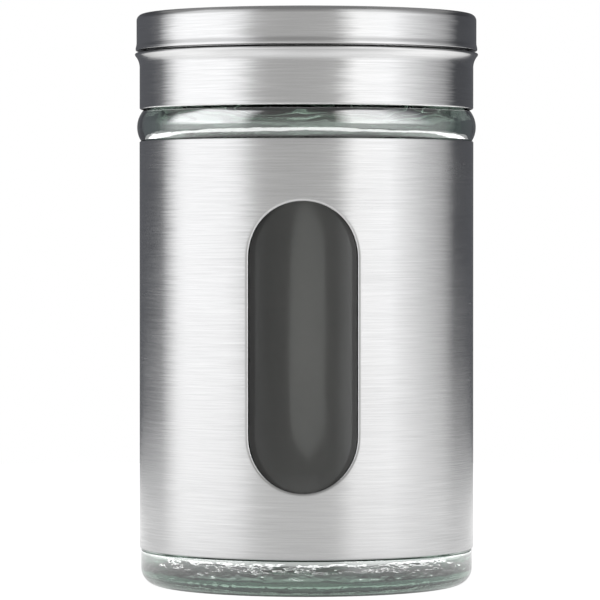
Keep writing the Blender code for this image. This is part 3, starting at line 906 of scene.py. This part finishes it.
# Pairs are where a change starts and ends: a distance from the axis on the table, in metres, or
# how far a direction in the room points up or back, from 0 to 1.
TABLE_RADIUS = 0.4
TABLE_GLOW = 0.95
TABLE_LIT = (-40.0 * MM, 130.0 * MM)
TABLE_FADE = (0.16, 0.38)
TABLE_FAR = 0.55
TABLE_SIDE_LIGHT = (0.95, 1.32)
TABLE_GLOW_UNDER = 0.1
TABLE_SHADE = (24.0 * MM, 31.0 * MM)
TABLE_GLINT = 3.4
TABLE_GLINT_START = (0.17, 0.19)
TABLE_GLINT_END = (0.28, 0.31)
CEILING_LEVEL = 0.4
CEILING_START = (0.76, 0.84)
ROOM_SCALE = 2.0
GLINT = 4.0
GLINT_START = 0.7
GLINT_RISE = (0.04, 0.12)
REAR_LAMP = 0.5
REAR_LAMP_BOTTOM = (0.45, 0.55)
REAR_LAMP_TOP = (0.85, 0.95)
REAR_LAMP_FRONT = (0.15, 0.3)
LAMP_TOP = (0.14, 0.3)
LAMP_TOP_LEVEL = 0.62

CAMERA_TURN = 1.3
CAMERA_DISTANCE = 0.76
CAMERA_HEIGHT = 67.4 * MM
AIM_HEIGHT = 54.5 * MM
FRAME_SHIFT = -1.24 * MM
FRAME_WIDTH = 115.2 * MM

# Light from the room: degrees from the front towards +X, level, and warmth, below 0 for bluish.
ROOM_LEVELS = (
    (-180, 0.12, -0.02), (-163, 0.11, -0.10), (-130, 0.12, -0.10),
    (-117, 0.20, -0.05), (-105, 0.93, -0.01), (-98, 1.36, -0.01),
    (-89, 1.49, -0.01), (-56, 1.49, -0.01), (-46, 1.31, -0.01), (-34, 0.72, 0.0),
    (-26, 0.58, 0.01), (-10, 0.55, 0.01), (10, 0.57, 0.01), (21, 0.63, 0.01),
    (35, 1.49, 0.0), (60, 1.49, -0.01), (75, 1.10, -0.01), (90, 0.78, -0.01),
    (108, 0.50, -0.01), (124, 0.08, -0.10), (163, 0.10, -0.10), (180, 0.12, -0.02),
)


def ray_kinds(tree):
    """Masks for what the camera sees directly and for sharp reflections, as glass gives."""
    path = tree.nodes.new("ShaderNodeLightPath")
    sharp = (path.outputs["Is Singular Ray"], path.outputs["Is Reflection Ray"])
    return path.outputs["Is Camera Ray"], math_node(tree, "MULTIPLY", *sharp)


def add_floor():
    """A small table top, white to the camera, which the lower part of the object mirrors.

    It glows, less under the object and far out, more to the sides, and a ring of it shows
    brighter in glass.
    """
    mesh = bpy.data.meshes.new("floor")
    bm = bmesh.new()
    bmesh.ops.create_circle(bm, cap_ends=True, radius=TABLE_RADIUS, segments=96)
    bm.to_mesh(mesh)
    bm.free()
    material, tree, shader = new_material("floor_white")
    shader.inputs["Base Color"].default_value = (0.2, 0.2, 0.2, 1)
    shader.inputs["Roughness"].default_value = 0.8
    shader.inputs["Emission Color"].default_value = (1, 1, 1, 1)
    place = object_place(tree)
    x, y, _ = split_vector(tree, place)
    distance = axis_distance(tree, x, y)
    glow = remap(tree, distance, *TABLE_SHADE, TABLE_GLOW_UNDER, 0.0)
    fade = remap(tree, distance, *TABLE_FADE, 1.0, TABLE_FAR)
    heading = split_vector(tree, vector_node(tree, "NORMALIZE", place))
    sideways = math_node(tree, "MULTIPLY", heading[0], heading[0])
    fade = math_node(tree, "MULTIPLY", fade, remap(tree, sideways, 0.0, 1.0, *TABLE_SIDE_LIGHT))
    lit = math_node(tree, "MULTIPLY", remap(tree, distance, *TABLE_LIT, 0.0, TABLE_GLOW), fade)
    glow = math_node(tree, "ADD", glow, lit)
    camera_ray, mirrored = ray_kinds(tree)
    glint = remap(tree, distance, *TABLE_GLINT_START, 0.0, TABLE_GLINT)
    glint = math_node(tree, "MULTIPLY", glint, remap(tree, distance, *TABLE_GLINT_END, 1.0, 0.0))
    glow = math_node(tree, "MULTIPLY_ADD", glint, mirrored, glow)
    glow = math_node(tree, "MULTIPLY", glow, math_node(tree, "SUBTRACT", 1.0, camera_ray))
    tree.links.new(math_node(tree, "ADD", glow, camera_ray), shader.inputs["Emission Strength"])
    mesh.materials.append(material)
    floor = bpy.data.objects.new("floor", mesh)
    bpy.context.scene.collection.objects.link(floor)


def patch(tree, colour, mask, level):
    """A colour with an even grey laid over it where the mask is 1."""
    covered = colour_between(tree, mask, (0, 0, 0), (level, level, level))
    tree.links.new(colour, covered.node.inputs["A"])
    return covered


def add_world():
    """Two tall soft boxes at the sides, a grey room in front, dark behind, and white to the camera.

    A weak lamp stands high behind, and the room dims a little above the horizon. Whatever is
    brighter than GLINT_START is brighter still in glass, above the horizon.
    """
    world = bpy.data.worlds.new("studio")
    world.use_nodes = True
    bpy.context.scene.world = world
    tree = world.node_tree
    tree.nodes.clear()
    direction = tree.nodes.new("ShaderNodeTexCoord").outputs["Generated"]
    x, y, z = split_vector(tree, direction)
    azimuth = math_node(tree, "ARCTAN2", x, math_node(tree, "MULTIPLY", y, -1.0))
    place = math_node(tree, "ADD", math_node(tree, "DIVIDE", azimuth, 2 * math.pi), 0.5)
    ramp = tree.nodes.new("ShaderNodeValToRGB")
    tree.links.new(place, ramp.inputs[0])
    elements = ramp.color_ramp.elements
    while len(elements) > 1:
        elements.remove(elements[-1])
    for index, (degrees, level, warmth) in enumerate(ROOM_LEVELS):
        spot = degrees / 360 + 0.5
        element = elements[0] if index == 0 else elements.new(spot)
        element.position = spot
        shade = level / ROOM_SCALE
        element.color = (shade * (1 + 0.3 * warmth), shade, shade * (1 - warmth), 1)
    overhead = remap(tree, z, *CEILING_START, 0.0, 1.0)
    room = patch(tree, ramp.outputs[0], overhead, CEILING_LEVEL / ROOM_SCALE)
    high = math_node(
        tree, "MULTIPLY", remap(tree, z, *REAR_LAMP_BOTTOM, 0, 1), remap(tree, z, *REAR_LAMP_TOP, 1, 0)
    )
    behind = math_node(tree, "MULTIPLY", high, remap(tree, y, *REAR_LAMP_FRONT, 0, 1))
    room = patch(tree, room, behind, REAR_LAMP / ROOM_SCALE)
    camera_ray, mirrored = ray_kinds(tree)
    lamps = vector_node(tree, "SUBTRACT", room, [GLINT_START / ROOM_SCALE] * 3)
    lamps = vector_node(tree, "MAXIMUM", lamps, [0, 0, 0])
    risen = remap(tree, z, *GLINT_RISE, 0.0, GLINT)
    lamps = vector_node(tree, "SCALE", lamps, scale=math_node(tree, "MULTIPLY", mirrored, risen))
    dimmed = vector_node(tree, "SCALE", room, scale=remap(tree, z, *LAMP_TOP, 1.0, LAMP_TOP_LEVEL))
    studio = tree.nodes.new("ShaderNodeBackground")
    tree.links.new(vector_node(tree, "ADD", dimmed, lamps), studio.inputs["Color"])
    studio.inputs["Strength"].default_value = ROOM_SCALE
    backdrop = tree.nodes.new("ShaderNodeBackground")
    backdrop.inputs["Color"].default_value = (1, 1, 1, 1)
    backdrop.inputs["Strength"].default_value = 1.0
    mix = tree.nodes.new("ShaderNodeMixShader")
    tree.links.new(camera_ray, mix.inputs[0])
    tree.links.new(studio.outputs[0], mix.inputs[1])
    tree.links.new(backdrop.outputs[0], mix.inputs[2])
    output = tree.nodes.new("ShaderNodeOutputWorld")
    tree.links.new(mix.outputs[0], output.inputs["Surface"])


def add_camera():
    """A long lens above the object's middle, a little right of the window and tipped down a degree."""
    turn = math.radians(CAMERA_TURN)
    right = Vector((math.cos(turn), math.sin(turn), 0))
    away = Vector((math.sin(turn), -math.cos(turn), 0))
    data = bpy.data.cameras.new("camera")
    data.sensor_width = 36
    data.lens = data.sensor_width * CAMERA_DISTANCE / FRAME_WIDTH
    data.clip_start = 0.05
    data.clip_end = 50
    camera = bpy.data.objects.new("camera", data)
    bpy.context.scene.collection.objects.link(camera)
    target = right * FRAME_SHIFT + Vector((0, 0, AIM_HEIGHT))
    camera.location = right * FRAME_SHIFT + away * CAMERA_DISTANCE + Vector((0, 0, CAMERA_HEIGHT))
    camera.rotation_euler = (target - camera.location).to_track_quat("-Z", "Y").to_euler()
    bpy.context.scene.camera = camera


add_floor()
add_world()
add_camera()
bpy.context.scene.view_settings.view_transform = "Standard"
